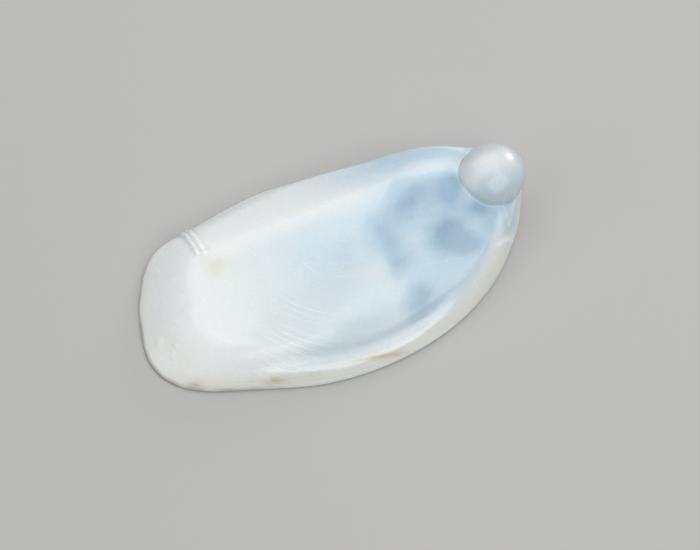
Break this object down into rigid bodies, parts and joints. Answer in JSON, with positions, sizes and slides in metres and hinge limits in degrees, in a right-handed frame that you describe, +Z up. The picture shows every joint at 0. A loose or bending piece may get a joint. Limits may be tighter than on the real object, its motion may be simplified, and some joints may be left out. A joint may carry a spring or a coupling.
{
  "type": "slipper shell",
  "caption": "Small white slipper shell: a low, lopsided oval back with a round knob at one end, hollow beneath, with a shelf across the rear half of the hollow.",
  "frame": {"origin": "on the surface the rim rests on, under the middle of the shell's bounding box", "axes": "+Z up out of the shell's back; +X along the length towards the round knob at the apex; +Y towards the flatter long side"},
  "size_m": [0.0098, 0.0054, 0.0017],
  "materials": {
    "shell": "glossy, porcelain white, faintly blue and translucent near the knob"
  },
  "bodies": {
    "root": {"shell": "shell"}
  },
  "joints": []
}
